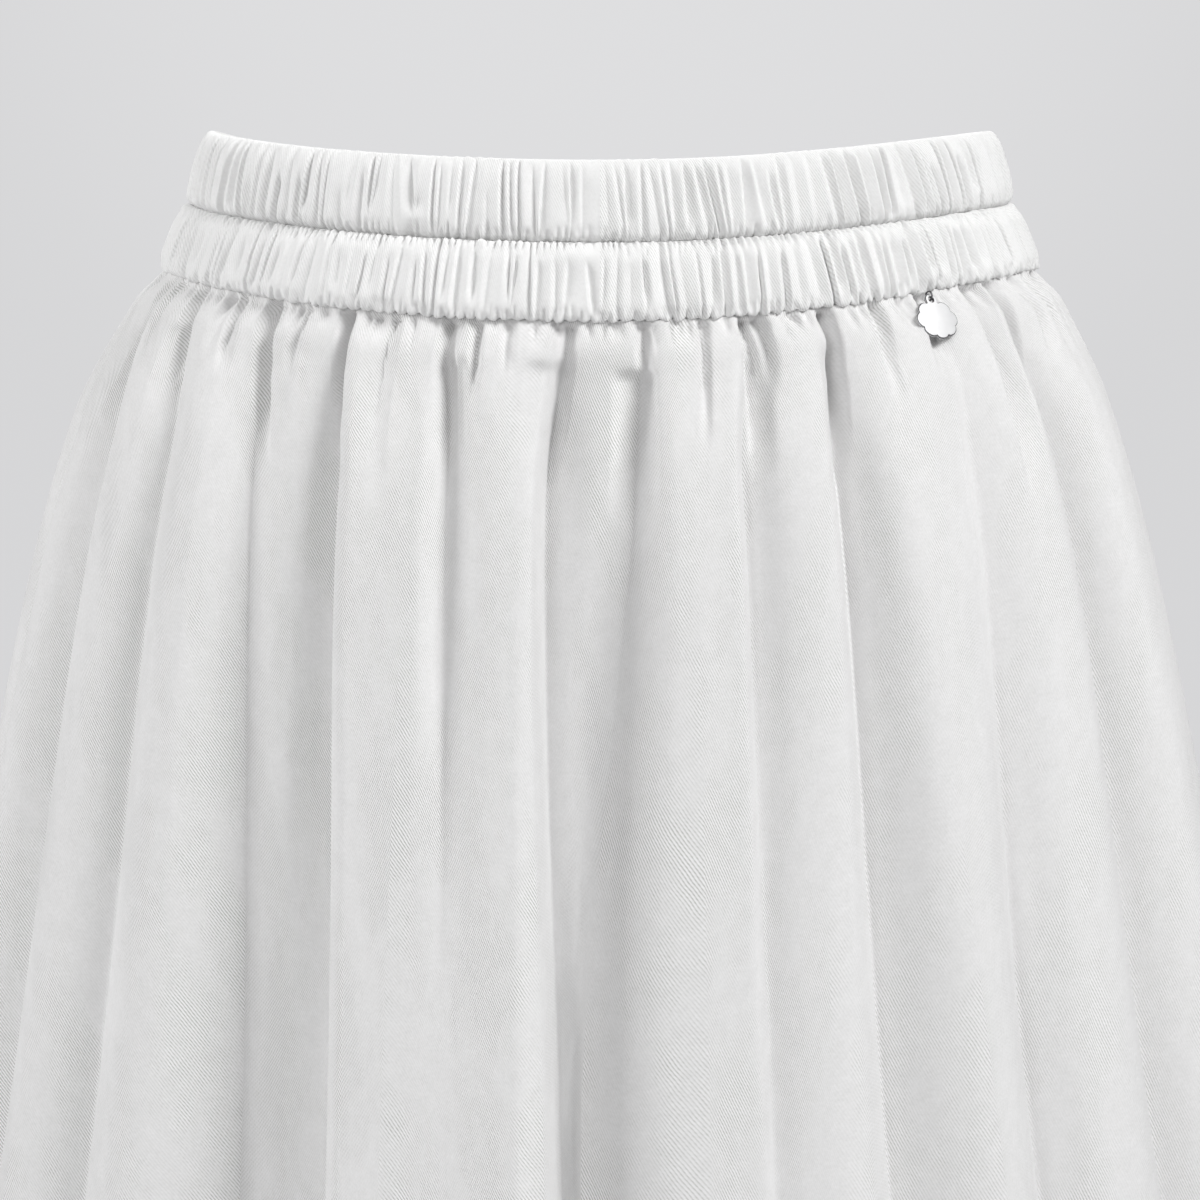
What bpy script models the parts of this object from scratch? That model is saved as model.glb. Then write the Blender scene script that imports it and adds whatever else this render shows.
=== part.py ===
"""An a-line maxi skirt with a double elastic waistband and a small hanging charm.

Metres, +Z up. The skirt stands as if filled out: its centre front faces -Y and the wearer's left
side is at +X. The origin is the centre of the waist, level with the side ends of the seam between
the two elastic channels.
"""

import math
from collections import namedtuple

import bmesh
import bpy
import numpy as np
from mathutils import Matrix, Vector

# ---------------------------------------------------------------- driving sizes (metres, degrees)

SEAM_GAP = 0.0003  # between two pieces that are sewn together
PANEL_WALL = 0.0013  # cotton twill with its drape, measured square to the cloth
PANEL_TUCK = 0.0005  # how far a panel's top edge lies inside the waistband's outer face
TUCK_END = -0.045  # the level where the tuck has run out
HEM_TURN = 0.022  # depth of the turned-up hem
HEM_WALL = 0.0026  # two layers of twill

CHANNEL_PINCH = 0.0022  # thickness where the waistband is stitched flat
UPPER_PILLOW = 0.0016  # how far the upper channel swells out past its seams
LOWER_PILLOW = 0.0022
INNER_PILLOW = 0.0008  # how far each channel swells towards the wearer
CHANNEL_COLUMNS = 64

# How a ring falls from its side ends to the centre: a power of the cosine of the angle round.
FALL_LEFT = 1.6  # the front, left of its centre
FALL_RIGHT = 2.5
FALL_BACK = 1.5
FOLD_EASE = 0.85  # under 1 keeps valleys narrow and ridges broad
WIDE_SPACE = 6.2  # degrees between fold lines that take a third column of faces

CHARM_ANGLE = 45.3  # where it hangs, round from the centre front
CHARM_PITCH = 28.0  # how far it leans back on the skirt
CHARM_WIDTH = 0.0168
CHARM_HEIGHT = 0.0140
CHARM_THICK = 0.0010
CHARM_BEVEL = 0.00022
CHARM_LOBES = 8
CHARM_SCALLOP = 0.10  # depth of a notch as a share of the radius
CHARM_TAB = 0.0022  # radius of the eye round the hole
CHARM_HOLE = 0.0011
RING_RADIUS = 0.0015  # centre line
RING_WIRE = 0.0003
RING_OUT = 0.0013  # from the lower seam's outer face to the ring's hinge point
RING_UP = 0.0004  # from the lower seam's level up to the ring's hinge point

# Rings of the skirt, top to bottom. level is the height of the ring's side ends, and the dips say
# how far its centre front and centre back hang below them.
Section = namedtuple("Section", "level half_width half_depth front_dip back_dip")
SECTIONS = (
    Section(0.0250, 0.1322, 0.0965, 0.0090, 0.0132),
    Section(0.0000, 0.1392, 0.1024, 0.0104, 0.0142),
    Section(-0.0212, 0.1480, 0.1096, 0.0141, 0.0150),
    Section(-0.0325, 0.1582, 0.1160, 0.0145, 0.0150),
    Section(-0.0500, 0.1698, 0.1240, 0.0140, 0.0145),
    Section(-0.0670, 0.1784, 0.1305, 0.0130, 0.0135),
    Section(-0.1010, 0.1895, 0.1395, 0.0105, 0.0110),
    Section(-0.1350, 0.1983, 0.1465, 0.0085, 0.0085),
    Section(-0.1690, 0.2060, 0.1535, 0.0070, 0.0070),
    Section(-0.3400, 0.2400, 0.1860, 0.0030, 0.0030),
    Section(-0.6000, 0.2890, 0.2320, 0.0008, 0.0008),
    Section(-0.8950, 0.3440, 0.2780, 0.0000, 0.0000),
)
TOP_EDGE, MID_SEAM, LOWER_SEAM, HEM = (SECTIONS[i].level for i in (0, 1, 2, -1))

# The lines of the folds, in order round the skirt from the left side seam: a crest (r) or a
# valley (v). Each has its angle at four levels, and how far it lies inside the outline (mm).
FOLD_LEVELS = (LOWER_SEAM, -0.075, -0.285, HEM)
Fold = namedtuple("Fold", "name seam hip thigh hem in_seam in_hip in_thigh in_hem")
FRONT_FOLDS = (
    Fold("r_side_left", -90.0, -90.0, -90.0, -90.0, 0.0, 0.0, 2.0, 2.0),
    Fold("v01", -86.0, -82.0, -80.0, -79.0, 0.6, 4.0, 10.0, 24.0),
    Fold("r01", -82.0, -73.8, -71.0, -69.5, 0.0, 0.0, 0.0, 0.0),
    Fold("v12", -76.5, -69.0, -66.5, -62.0, 1.2, 7.0, 8.5, 20.0),
    Fold("r02", -67.5, -58.6, -55.5, -52.0, 0.0, 0.0, 0.0, 0.0),
    Fold("v23", -59.2, -52.6, -47.9, -44.0, 1.6, 8.0, 14.0, 28.0),
    Fold("r03", -52.5, -47.0, -38.6, -34.5, 0.0, 0.5, 0.0, 0.0),
    Fold("v34", -45.4, -38.2, -28.8, -25.0, 1.8, 12.0, 19.0, 32.0),
    Fold("r04", -38.6, -33.6, -26.0, -21.6, 0.8, 4.5, 18.0, 27.0),
    Fold("v45", -32.7, -28.4, -23.6, -19.0, 1.8, 10.5, 13.0, 20.0),
    Fold("r05a", -30.0, -25.4, -20.6, -15.0, 0.0, 0.8, 1.5, 4.0),
    Fold("r05b", -22.8, -19.0, -17.0, -11.0, 0.0, 0.0, 0.0, 0.0),
    Fold("v56", -19.1, -15.9, -12.3, -6.5, 1.6, 8.0, 11.0, 26.0),
    Fold("r06", -11.5, -9.0, -4.7, -1.0, 0.0, 0.0, 0.0, 1.0),
    Fold("v67", -3.9, -5.5, -0.7, 3.4, 1.8, 11.5, 19.0, 30.0),
    Fold("r07", 0.6, 0.0, 0.9, 5.0, 0.5, 4.5, 18.5, 29.0),
    Fold("v78", 5.0, 3.8, 2.6, 6.6, 1.6, 10.0, 16.5, 25.0),
    Fold("r08a", 8.6, 9.2, 9.6, 11.2, 0.0, 0.5, 2.5, 2.0),
    Fold("r08b", 14.2, 12.9, 12.3, 13.6, 0.0, 0.0, 0.0, 0.0),
    Fold("v89", 17.8, 16.4, 15.6, 17.5, 1.4, 5.0, 7.5, 20.0),
    Fold("r09", 23.4, 22.0, 18.8, 22.5, 0.0, 0.5, 1.0, 3.0),
    Fold("v910", 28.7, 25.2, 23.4, 27.5, 1.6, 9.0, 13.5, 28.0),
    Fold("r10", 37.0, 32.4, 33.2, 34.6, 0.0, 0.0, 0.0, 0.0),
    Fold("v1011", 46.6, 39.3, 38.2, 41.0, 1.8, 10.0, 15.5, 30.0),
    Fold("r11", 52.5, 48.8, 43.8, 46.5, 1.2, 0.3, 0.5, 0.0),
    Fold("v1112", 59.6, 55.4, 49.4, 52.0, 1.4, 8.0, 12.0, 26.0),
    Fold("r12", 70.0, 68.0, 64.0, 62.5, 0.0, 0.0, 0.0, 0.0),
    Fold("v1213", 79.0, 77.0, 75.0, 74.0, 1.0, 6.0, 11.0, 24.0),
    Fold("r_side_right", 90.0, 90.0, 90.0, 90.0, 0.0, 3.4, 4.0, 2.0),
)
BACK_FOLDS = (
    Fold("vb1", 98.0, 99.0, 101.0, 102.0, 1.2, 7.0, 12.0, 24.0),
    Fold("rb1", 105.5, 107.0, 110.5, 112.0, 0.0, 0.0, 0.0, 0.0),
    Fold("vb2", 112.5, 114.8, 119.0, 120.5, 1.6, 10.0, 16.0, 28.0),
    Fold("rb2", 119.5, 122.0, 126.0, 128.5, 0.0, 0.5, 0.0, 2.0),
    Fold("vb3", 126.0, 128.0, 131.5, 134.5, 1.4, 8.5, 9.0, 19.0),
    Fold("rb3", 132.0, 134.5, 138.5, 142.0, 0.0, 0.0, 0.0, 0.0),
    Fold("vb4", 138.5, 141.0, 146.0, 150.0, 1.8, 12.5, 19.0, 31.0),
    Fold("rb4", 145.0, 147.0, 152.5, 157.5, 0.0, 1.0, 2.0, 0.0),
    Fold("vb5", 151.0, 152.5, 157.5, 163.5, 1.6, 9.5, 11.0, 22.0),
    Fold("rb5", 157.0, 159.5, 163.5, 170.0, 0.0, 0.0, 0.0, 1.0),
    Fold("vb6", 164.0, 167.0, 171.5, 176.0, 1.8, 12.0, 20.0, 30.0),
    Fold("rb6", 171.0, 173.5, 179.0, 183.5, 0.0, 0.0, 0.0, 0.0),
    Fold("vb7", 178.5, 181.0, 186.5, 190.5, 1.4, 9.0, 13.0, 25.0),
    Fold("rb7", 186.0, 188.5, 193.5, 197.0, 0.0, 0.5, 1.0, 2.0),
    Fold("vb8", 193.0, 196.0, 200.5, 203.0, 1.8, 12.0, 18.0, 29.0),
    Fold("rb8", 200.0, 203.0, 207.0, 210.0, 0.0, 0.0, 0.0, 0.0),
    Fold("vb9", 207.5, 210.5, 213.0, 217.0, 1.4, 8.0, 10.0, 21.0),
    Fold("rb9", 214.0, 217.5, 219.5, 224.5, 0.0, 0.5, 0.5, 0.0),
    Fold("vb10", 221.5, 224.0, 227.0, 231.0, 1.8, 11.5, 18.0, 30.0),
    Fold("rb10", 229.0, 231.0, 234.5, 238.0, 0.0, 0.0, 0.0, 0.0),
    Fold("vb11", 236.5, 238.0, 241.5, 244.5, 1.4, 9.0, 12.0, 25.0),
    Fold("rb11", 244.0, 245.5, 249.0, 251.5, 0.0, 0.0, 0.0, 1.0),
    Fold("vb12", 254.0, 255.5, 257.5, 259.5, 1.2, 8.0, 14.0, 26.0),
)
FOLDS = FRONT_FOLDS + BACK_FOLDS

# Levels of the panels' rings of points between the top edge and the hem's turn.
PANEL_LEVELS = (-0.0325, -0.046, -0.060, -0.078, -0.104, -0.145, -0.205, -0.285, -0.420, -0.640)


# ---------------------------------------------------------------- the shape of the cloth


def through(levels, values, level):
    """The value at a level, on a smooth curve through values given at falling levels."""
    xs = -np.asarray(levels, float)
    ys = np.asarray(values, float)
    steps = np.diff(ys) / np.diff(xs)
    slopes = np.empty(len(ys))
    slopes[0] = steps[0]
    slopes[-1] = steps[-1]
    same_way = steps[:-1] * steps[1:] > 0
    both = np.where(same_way, steps[:-1] + steps[1:], 1.0)
    slopes[1:-1] = np.where(same_way, 2 * steps[:-1] * steps[1:] / both, 0.0)
    x = np.clip(-level, xs[0], xs[-1])
    k = min(int(np.searchsorted(xs, x, side="right")) - 1, len(xs) - 2)
    width = xs[k + 1] - xs[k]
    t = (x - xs[k]) / width
    rise = (2 * t**3 - 3 * t**2 + 1) * ys[k] + (3 * t**2 - 2 * t**3) * ys[k + 1]
    lean = (t**3 - 2 * t**2 + t) * slopes[k] + (t**3 - t**2) * slopes[k + 1]
    return float(rise + width * lean)


def section_at(level):
    levels = [s.level for s in SECTIONS]
    rest = (through(levels, [s[i] for s in SECTIONS], level) for i in range(1, len(Section._fields)))
    return Section(level, *rest)


def outward(section, angle):
    """Level direction square to the ring at an angle round from the centre front."""
    return Vector(
        (math.sin(angle) / section.half_width, -math.cos(angle) / section.half_depth, 0)
    ).normalized()


def ring_point(section, angle):
    across = math.cos(angle)
    dip = section.front_dip if across > 0 else section.back_dip
    power = FALL_BACK if across < 0 else FALL_RIGHT if math.sin(angle) > 0 else FALL_LEFT
    return Vector(
        (
            section.half_width * math.sin(angle),
            -section.half_depth * across,
            section.level - dip * abs(across) ** power,
        )
    )


def fold_lines(level):
    """The angle (degrees) and the inset (metres) of each fold line at a level, once round."""
    angles = [through(FOLD_LEVELS, f[1:5], level) for f in FOLDS]
    insets = [through(FOLD_LEVELS, f[5:9], level) / 1000 for f in FOLDS]
    return angles + [angles[0] + 360], insets + [insets[0]]


def between(lines, k, share):
    """Angle (degrees) and inset (metres) a share of the way from fold line k to the next."""
    angles, insets = lines
    angle = angles[k] + (angles[k + 1] - angles[k]) * share
    rising = insets[k + 1] < insets[k]
    away = share if rising else 1 - share
    crest_share = (1 - math.cos(math.pi * away**FOLD_EASE)) / 2
    low, high = max(insets[k : k + 2]), min(insets[k : k + 2])
    return angle, low + (high - low) * crest_share


def cloth_point(section, lines, k, share):
    degrees, inset = between(lines, k, share)
    angle = math.radians(degrees)
    tuck = PANEL_TUCK * max(0, (section.level - TUCK_END) / (LOWER_SEAM - TUCK_END))
    return ring_point(section, angle) - outward(section, angle) * (inset + tuck)


# ---------------------------------------------------------------- Blender helpers


def clear_scene():
    for obj in list(bpy.data.objects):
        bpy.data.objects.remove(obj)


def material(name, colour, roughness, metallic=0.0):
    made = bpy.data.materials.new(name)
    made.use_nodes = True
    shader = made.node_tree.nodes["Principled BSDF"]
    shader.inputs["Base Color"].default_value = (*colour, 1.0)
    shader.inputs["Roughness"].default_value = roughness
    shader.inputs["Metallic"].default_value = metallic
    return made


def add_object(name, mesh, finish, smooth_angle=50.0):
    obj = bpy.data.objects.new(name, mesh)
    bpy.context.scene.collection.objects.link(obj)
    mesh.materials.append(finish)
    mesh.shade_smooth()
    mesh.set_sharp_from_angle(angle=math.radians(smooth_angle))
    return obj


def mesh_of(name, points, faces):
    mesh = bpy.data.meshes.new(name)
    mesh.from_pydata([tuple(p) for p in points], [], faces)
    tidy = bmesh.new()
    tidy.from_mesh(mesh)
    bmesh.ops.recalc_face_normals(tidy, faces=tidy.faces)
    tidy.to_mesh(mesh)
    tidy.free()
    return mesh


# ---------------------------------------------------------------- panels


def panel_columns(first_degrees, last_degrees):
    """(fold line, share) for each column from one side seam to the other."""
    angles = fold_lines(FOLD_LEVELS[1])[0]
    columns = []
    for k in range(len(FOLDS)):
        if not first_degrees <= angles[k] < last_degrees:
            continue
        steps = 2 if angles[k + 1] - angles[k] < WIDE_SPACE else 3
        columns += [(k, i / steps) for i in range(steps)]
    last = columns[-1][0]
    return columns + [(last, 1.0)]


def cloth_normals(points):
    """Unit normals of a grid of points, rows down the skirt and columns round it."""
    down = np.gradient(points, axis=0)
    round_it = np.gradient(points, axis=1)
    normals = np.cross(down, round_it)
    return normals / np.linalg.norm(normals, axis=2, keepdims=True)


def panel(name, first_degrees, last_degrees, side, finish):
    """Half of the skirt between its side seams, as a wall of even thickness."""
    top = LOWER_SEAM - SEAM_GAP / 2
    turn_top = HEM + HEM_TURN
    levels = (top,) + PANEL_LEVELS + (turn_top + 0.001, turn_top, HEM)
    walls = [PANEL_WALL] * (len(levels) - 2) + [HEM_WALL] * 2
    columns = panel_columns(first_degrees, last_degrees)
    outer = np.empty((len(levels), len(columns), 3))
    for i, level in enumerate(levels):
        section = section_at(level)
        lines = fold_lines(level)
        for j, (k, share) in enumerate(columns):
            outer[i, j] = cloth_point(section, lines, k, share)
    normals = cloth_normals(outer)
    if np.dot(normals[0, 0], outer[0, 0]) < 0:
        normals = -normals
    for j in range(len(columns)):
        for i in (0, -1):
            normals[i, j, 2] = 0
    for j in (0, -1):
        normals[:, j, 1] = 0
        outer[:, j, 1] = side * SEAM_GAP / 2
    normals /= np.linalg.norm(normals, axis=2, keepdims=True)
    inner = outer - normals * np.array(walls)[:, None, None]
    inner[-1, :, 2] = outer[-1, :, 2]

    rows, count = outer.shape[:2]
    points = list(outer.reshape(-1, 3)) + list(inner.reshape(-1, 3))
    shift = rows * count

    def out(i, j):
        return i * count + j

    def inn(i, j):
        return shift + i * count + j

    faces = []
    for i in range(rows - 1):
        for j in range(count - 1):
            faces.append((out(i, j), out(i + 1, j), out(i + 1, j + 1), out(i, j + 1)))
            faces.append((inn(i, j), inn(i, j + 1), inn(i + 1, j + 1), inn(i + 1, j)))
        for j in (0, count - 1):
            faces.append((out(i, j), inn(i, j), inn(i + 1, j), out(i + 1, j)))
    for i in (0, rows - 1):
        for j in range(count - 1):
            faces.append((out(i, j), out(i, j + 1), inn(i, j + 1), inn(i, j)))
    return add_object(name, mesh_of(name, points, faces), finish)


# ---------------------------------------------------------------- waistband

# A channel's cross-section: share of the way down it, side of the cloth (1 outer, -1 inner), and
# share of its full swelling there.
Profile = namedtuple("Profile", "down side swell")
PILLOW = (
    Profile(0.00, 1, 0.0),
    Profile(0.13, 1, 0.7),
    Profile(0.50, 1, 1.0),
    Profile(0.87, 1, 0.7),
    Profile(1.00, 1, 0.0),
    Profile(1.00, -1, 0.0),
    Profile(0.50, -1, 1.0),
    Profile(0.00, -1, 0.0),
)


def channel(name, top, bottom, pillow, finish):
    """One elastic channel: a closed ring, stitched flat at both edges and swollen between."""
    upper, lower = section_at(top), section_at(bottom)
    points = []
    for i in range(CHANNEL_COLUMNS):
        angle = 2 * math.pi * i / CHANNEL_COLUMNS
        high, low = ring_point(upper, angle), ring_point(lower, angle)
        square = outward(section_at((top + bottom) / 2), angle)
        for spot in PILLOW:
            swell = pillow if spot.side > 0 else INNER_PILLOW
            # The table of sections gives the outer face of the seams.
            depth = spot.swell * swell if spot.side > 0 else -CHANNEL_PINCH - spot.swell * swell
            points.append(high.lerp(low, spot.down) + square * depth)
    count = len(PILLOW)
    faces = []
    for i in range(CHANNEL_COLUMNS):
        here, there = i * count, (i + 1) % CHANNEL_COLUMNS * count
        for j in range(count):
            k = (j + 1) % count
            faces.append((here + j, here + k, there + k, there + j))
    return add_object(name, mesh_of(name, points, faces), finish)


# ---------------------------------------------------------------- charm


def charm_frame():
    """The ring's hinge point and the charm's own axes: across, face and down."""
    seam = section_at(LOWER_SEAM)
    angle = math.radians(CHARM_ANGLE)
    square = outward(seam, angle)
    across = square.cross(Vector((0, 0, -1)))
    pitch = math.radians(CHARM_PITCH)
    down = square * math.sin(pitch) + Vector((0, 0, -math.cos(pitch)))
    face = square * math.cos(pitch) + Vector((0, 0, math.sin(pitch)))
    hinge = ring_point(seam, angle) + square * RING_OUT + Vector((0, 0, RING_UP))
    return hinge, across, face, down


def oriented(across, face, down, at):
    turn = Matrix((across, face, -down)).transposed().to_4x4()
    return Matrix.Translation(at) @ turn


def charm_outline(theta):
    """Distance from the charm's middle to its rim, theta round from the top of its eye."""
    wide, high = CHARM_WIDTH / 2, CHARM_HEIGHT / 2
    oval = wide * high / math.hypot(high * math.sin(theta), wide * math.cos(theta))
    notch = 1 - abs(math.cos(CHARM_LOBES * theta / 2))
    reach = oval * (1 - CHARM_SCALLOP * notch**2)
    rise = CHARM_HEIGHT / 2
    if math.cos(theta) > 0 and rise * abs(math.sin(theta)) < CHARM_TAB:
        eye = rise * math.cos(theta) + math.sqrt(CHARM_TAB**2 - (rise * math.sin(theta)) ** 2)
        reach = max(reach, eye)
    return reach


def charm_plate(hinge, across, face, down, finish):
    """A flat scalloped plate with a round hole in its eye."""
    steps = 80
    shape = bmesh.new()
    rim = []
    for i in range(steps):
        theta = 2 * math.pi * i / steps
        reach = charm_outline(theta)
        rim.append(shape.verts.new((reach * math.sin(theta), -CHARM_THICK / 2, reach * math.cos(theta))))
    front = shape.faces.new(rim)
    pulled = bmesh.ops.extrude_face_region(shape, geom=[front])["geom"]
    for vert in pulled:
        if isinstance(vert, bmesh.types.BMVert):
            vert.co.y += CHARM_THICK
    bmesh.ops.recalc_face_normals(shape, faces=shape.faces)
    mesh = bpy.data.meshes.new("charm_plate")
    shape.to_mesh(mesh)
    shape.free()

    hole = hinge + down * 2 * RING_RADIUS
    middle = hole + down * CHARM_HEIGHT / 2
    place = oriented(across, face, down, middle)
    plate = add_object("charm_plate", mesh, finish, 30.0)
    plate.matrix_world = place

    drill = bmesh.new()
    bmesh.ops.create_cone(
        drill, cap_ends=True, segments=24, radius1=CHARM_HOLE, radius2=CHARM_HOLE, depth=4 * CHARM_THICK
    )
    bmesh.ops.rotate(drill, verts=drill.verts, matrix=Matrix.Rotation(math.pi / 2, 3, "X"))
    cutter_mesh = bpy.data.meshes.new("charm_hole_cutter")
    drill.to_mesh(cutter_mesh)
    drill.free()
    cutter = bpy.data.objects.new("charm_hole_cutter", cutter_mesh)
    bpy.context.scene.collection.objects.link(cutter)
    cutter.matrix_world = oriented(across, face, down, hole)
    cutter.hide_render = True
    cutter.display_type = "WIRE"

    cut = plate.modifiers.new("hole", "BOOLEAN")
    cut.object = cutter
    cut.operation = "DIFFERENCE"
    edge = plate.modifiers.new("edge", "BEVEL")
    edge.width = CHARM_BEVEL
    edge.segments = 1
    edge.limit_method = "ANGLE"
    edge.angle_limit = math.radians(60)
    return plate


def charm_ring(hinge, across, face, down, finish):
    """The closed wire ring that is caught in the waistband's lower seam."""
    around, section = 28, 8
    points, faces = [], []
    for i in range(around):
        turn = 2 * math.pi * i / around
        out = Vector((0, math.sin(turn), math.cos(turn)))
        for j in range(section):
            roll = 2 * math.pi * j / section
            ring = out * (RING_RADIUS + RING_WIRE * math.cos(roll))
            points.append(ring + Vector((RING_WIRE * math.sin(roll), 0, 0)))
            here, there = i * section, (i + 1) % around * section
            k = (j + 1) % section
            faces.append((here + j, here + k, there + k, there + j))
    mesh = mesh_of("charm_ring", points, faces)
    ring = add_object("charm_ring", mesh, finish, 80.0)
    # Its origin is the hinge point, at the top of the ring.
    mesh.transform(Matrix.Translation((0, 0, -RING_RADIUS)))
    ring.matrix_world = oriented(across, face, down, hinge)
    return ring


# ---------------------------------------------------------------- the skirt


def main():
    clear_scene()
    twill = material("twill", (0.80, 0.80, 0.79), 0.85)
    waistband = material("waistband_twill", (0.83, 0.83, 0.82), 0.85)
    silver = material("polished_silver", (0.86, 0.86, 0.87), 0.18, 1.0)

    panel("front_panel", -90.0, 90.0, -1, twill)
    panel("back_panel", 90.0, 270.0, 1, twill)
    channel("waistband_upper_channel", TOP_EDGE, MID_SEAM + SEAM_GAP / 2, UPPER_PILLOW, waistband)
    channel(
        "waistband_lower_channel",
        MID_SEAM - SEAM_GAP / 2,
        LOWER_SEAM + SEAM_GAP / 2,
        LOWER_PILLOW,
        waistband,
    )
    hinge, across, face, down = charm_frame()
    charm_ring(hinge, across, face, down, silver)
    charm_plate(hinge, across, face, down, silver)


main()
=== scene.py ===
"""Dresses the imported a-line maxi skirt: gathered cotton twill, an elastic waistband and a charm."""

import math
from collections import namedtuple

import bmesh
import bpy
import numpy as np
from mathutils import Matrix, Vector


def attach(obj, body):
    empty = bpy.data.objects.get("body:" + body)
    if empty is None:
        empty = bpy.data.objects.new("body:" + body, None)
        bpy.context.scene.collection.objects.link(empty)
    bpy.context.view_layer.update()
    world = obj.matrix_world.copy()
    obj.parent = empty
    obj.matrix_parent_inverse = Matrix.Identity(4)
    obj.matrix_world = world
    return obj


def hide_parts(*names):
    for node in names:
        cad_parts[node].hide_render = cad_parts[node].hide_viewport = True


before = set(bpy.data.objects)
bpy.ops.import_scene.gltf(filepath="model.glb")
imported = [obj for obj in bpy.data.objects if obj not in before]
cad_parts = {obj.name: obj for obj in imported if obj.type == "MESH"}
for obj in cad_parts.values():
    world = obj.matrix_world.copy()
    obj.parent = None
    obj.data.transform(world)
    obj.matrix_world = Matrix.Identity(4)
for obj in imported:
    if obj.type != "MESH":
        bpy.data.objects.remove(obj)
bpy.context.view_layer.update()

# ---- sizes (metres unless said)

MM = 1000.0  # millimetres in a metre

WALL = 0.0009  # the cloth, with its nap
TUCK = 0.0006  # how far a panel's top edge goes up into the waistband
HEM_TURN = 0.022  # depth of the turned-up hem
HEM_WALL = 0.0022
SEAM_TURN = 0.0012  # how far a panel's side edge curls in at the side seam
SEAM_TURN_WIDE = 0.0016
SEAM_GAP = 0.0003
DEEPER = 1.32  # the cloth falls a little further into its valleys than the solid does

# The relief of the gathered cloth, in mm.
SEAM_GROOVE = 1.1  # how far the gathers are drawn in at the waistband's lower seam
SEAM_GROOVE_REACH = 1.2
CAUGHT = 2.2  # how far below the seam a gather is as deep as it gets
PUFF = 1.2  # how far they swell just below the seam
PUFF_AT = 7.0
PUFF_ROUND = 2.0  # how far each one rounds back at its sides
PUFF_REACH = 50.0  # how far down it does
HEM_STEP = 0.4  # how far the turned-up hem stands out

FALL_LEFT = 1.6  # how fast the rings' dip fades to the sides, as in the solids
FALL_RIGHT = 2.5
FALL_BACK = 1.5
FOLD_EASE = 0.85  # under 1 keeps valleys narrow and ridges broad
CREST_ROUND = 0.45  # how much of a fold's side is rounded to its crest
EVEN_SHARE = 0.6  # a fold whose shares are both larger has two even sides
STEEP_PART = 0.68  # how much of an uneven fold's steep side is over within its share
SLOW_PART = 0.35  # how much of its other side is a plain wave
SLOW_ROUND = 1.8
EASED = 0.58  # how far a fold's sides even out further down the skirt
EASED_FROM = 0.06  # below the seam
EASED_OVER = 0.3

GATHER_DEPTH = 0.78  # the share of a gather's listed depth that is pressed in
GATHER_WIDTH = 0.8  # and of its listed sides
GATHER_ROUND = 1.8  # powers: more is a flatter floor with steeper sides
POCKET_ROUND = 6
PUFF_SHARPNESS = 2.1  # powers: more is a narrower crease between rounder puffs
RUCHE_SHARPNESS = 1.15
POCKET_ONSET = 1.5  # mm, and a gather with a later onset is a pocket under a flap
FADE_FROM = 0.35  # how far along its length a gather starts to fade
RIGHT_GATHERS_FROM = 12  # degrees, and the gathers from here on are deeper
RIGHT_GATHERS_DEEPER = 1.3

COLUMNS_TO_A_DEGREE = 3.3
MM_TO_A_DEGREE = 3.0  # roughly, at the hips
Ripple = namedtuple("Ripple", "depth across down")
RIPPLES = (Ripple(0.16, 7, 60), Ripple(0.07, 4, 18))  # mm
RIPPLE_FADE = 12
# How far below the seam each row spacing holds, and the spacing, in mm.
ROW_SPACINGS = ((0, 1.1), (40, 1.4), (75, 2.9), (140, 5.4), (260, 12), (873, 16))

PANEL_TOP = 0.64  # a panel's cut: its width at the waist and at the hem, and its length
PANEL_HEM = 1.20
CUT_LENGTH = 0.90

CHANNEL_PINCH = 2.2  # mm, the thickness where the waistband is stitched flat
INNER_PILLOW = 0.8  # mm
INNER_CREASE = 0.5  # mm
CHANNEL_COLUMNS = 2200
CHANNEL_ROWS = 34
INNER_ROWS = 7
BAND_CLOTH = 1.25  # metres of cloth to a metre of waistband
DRAWN_RIGHT = 0.8  # how much deeper the creases are at the right end of the band
CREASE_FADE = 0.3  # shares of the way down, over which a crease and a pucker begin and end
PUCKER_FADE = 0.12
PUCKER_SPACING = (1.0, 2.0, 1.7, 3.4)  # mm, in the order that crease_row takes
LOOP = 3.8  # mm, the bumps along an edge of the band
STITCH_LOOP = 2.3  # mm, the same where the middle seam's stitches catch the cloth

CHARM_ANGLE = 45.3  # degrees to the right of the centre front
CHARM_PITCH = 28.0  # how far the plate leans out from hanging straight
CHARM_ROOM = 0.9  # mm that the waistband is pulled in here, clear of the swinging charm
CHARM_ROOM_WIDE = 3.2  # degrees
CHARM_ROOM_HIGH = 5.0  # mm
CHARM_WIDTH = 0.0168
CHARM_HEIGHT = 0.0140
CHARM_THICK = 0.0010
CHARM_BEVEL = 0.00036
CHARM_SHOULDER = 0.3  # of the bevel, where it turns
CHARM_LOBES = 8
CHARM_SCALLOP = 0.12
CHARM_TAB = 0.0022
CHARM_HOLE = 0.0011
CHARM_HOLE_BEVEL = 0.00012
CHARM_STEPS, HOLE_STEPS = 176, 32  # points round the plate and round its hole
RING_RADIUS = 0.0015
RING_WIRE = 0.0003
RING_OUT = 0.0013
RING_UP = 0.0004

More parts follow.
